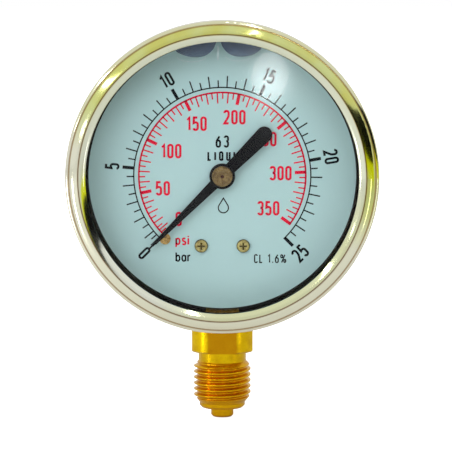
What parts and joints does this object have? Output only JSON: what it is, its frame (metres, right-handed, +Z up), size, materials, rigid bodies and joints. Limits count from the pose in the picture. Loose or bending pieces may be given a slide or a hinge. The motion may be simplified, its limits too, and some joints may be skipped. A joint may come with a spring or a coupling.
{
  "type": "pressure gauge",
  "caption": "Round pressure gauge with a threaded connection below; a C-shaped tube turns the pointer over the dial through a link, a toothed sector and a pinion.",
  "frame": {"origin": "on the axis of the process thread, half-way along its crests", "axes": "+Z up along the thread's axis to the dial's centre, -Y the way the dial faces, +X to the reader's right"},
  "size_m": [0.0706, 0.032, 0.0926],
  "materials": {
    "brass": "bright machined",
    "stainless": "polished stainless",
    "window": "clear",
    "rubber": "matt black",
    "screw_steel": "plated",
    "dial": "satin, pale blue-grey",
    "spring_bronze": "bronze strip",
    "tube_bronze": "bronze tube",
    "pointer_black": "satin black"
  },
  "bodies": {
    "gauge": {"socket": "brass", "restrictor": "brass", "case_shell": "stainless", "bezel_ring": "stainless", "window": "window", "window_gasket": "rubber", "socket_seal": "rubber", "fill_plug": "rubber", "socket_screws": "screw_steel", "dial_plate": "dial", "dial_screws": "screw_steel", "dial_standoffs": "brass", "stop_pin": "brass", "movement_back_plate": "brass", "movement_front_plate": "brass", "movement_pillars": "brass", "pillar_screws": "screw_steel", "movement_screws": "screw_steel", "hairspring_stud": "brass", "hairspring": "spring_bronze", "bourdon_tube": "tube_bronze"},
    "indicator": {"pointer": "pointer_black", "pointer_hub": "brass", "pinion_arbor": "screw_steel", "hairspring_collet": "brass"},
    "sector": {"sector_gear": "brass", "sector_arbor": "screw_steel", "sector_link_pin": "screw_steel"},
    "tube_tip": {"tube_end_piece": "brass", "tube_link_pin": "screw_steel"},
    "link": {"link": "brass"}
  },
  "joints": [
    {"name": "sector_swing", "type": "hinge", "parent": "gauge", "child": "sector", "pos_m": [0, 0, 0.0358], "axis": [0, -1, 0], "range_deg": [0, 22.5], "stiffness_Nm_per_rad": 0.02, "springref_deg": -1.72},
    {"name": "pointer_turn", "type": "hinge", "parent": "gauge", "child": "indicator", "pos_m": [0, 0, 0.0488], "axis": [0, 1, 0], "range_deg": [0, 270], "deforming": ["hairspring"]},
    {"name": "tube_tip_flex", "type": "hinge", "parent": "gauge", "child": "tube_tip", "pos_m": [-0.0018, 0, 0.0504], "axis": [0, -1, 0], "range_deg": [0, 6.5], "deforming": ["bourdon_tube"]},
    {"name": "link_turn", "type": "hinge", "parent": "tube_tip", "child": "link", "pos_m": [0.0162, 0, 0.0301], "axis": [0, -1, 0], "range_deg": [0, 0.7]}
  ],
  "couplings": [
    {"joint": "pointer_turn", "follows": "sector_swing", "ratio": 12},
    {"joint": "tube_tip_flex", "follows": "sector_swing", "ratio": 0.28885},
    {"joint": "link_turn", "follows": "sector_swing", "ratio": 0.029994}
  ]
}
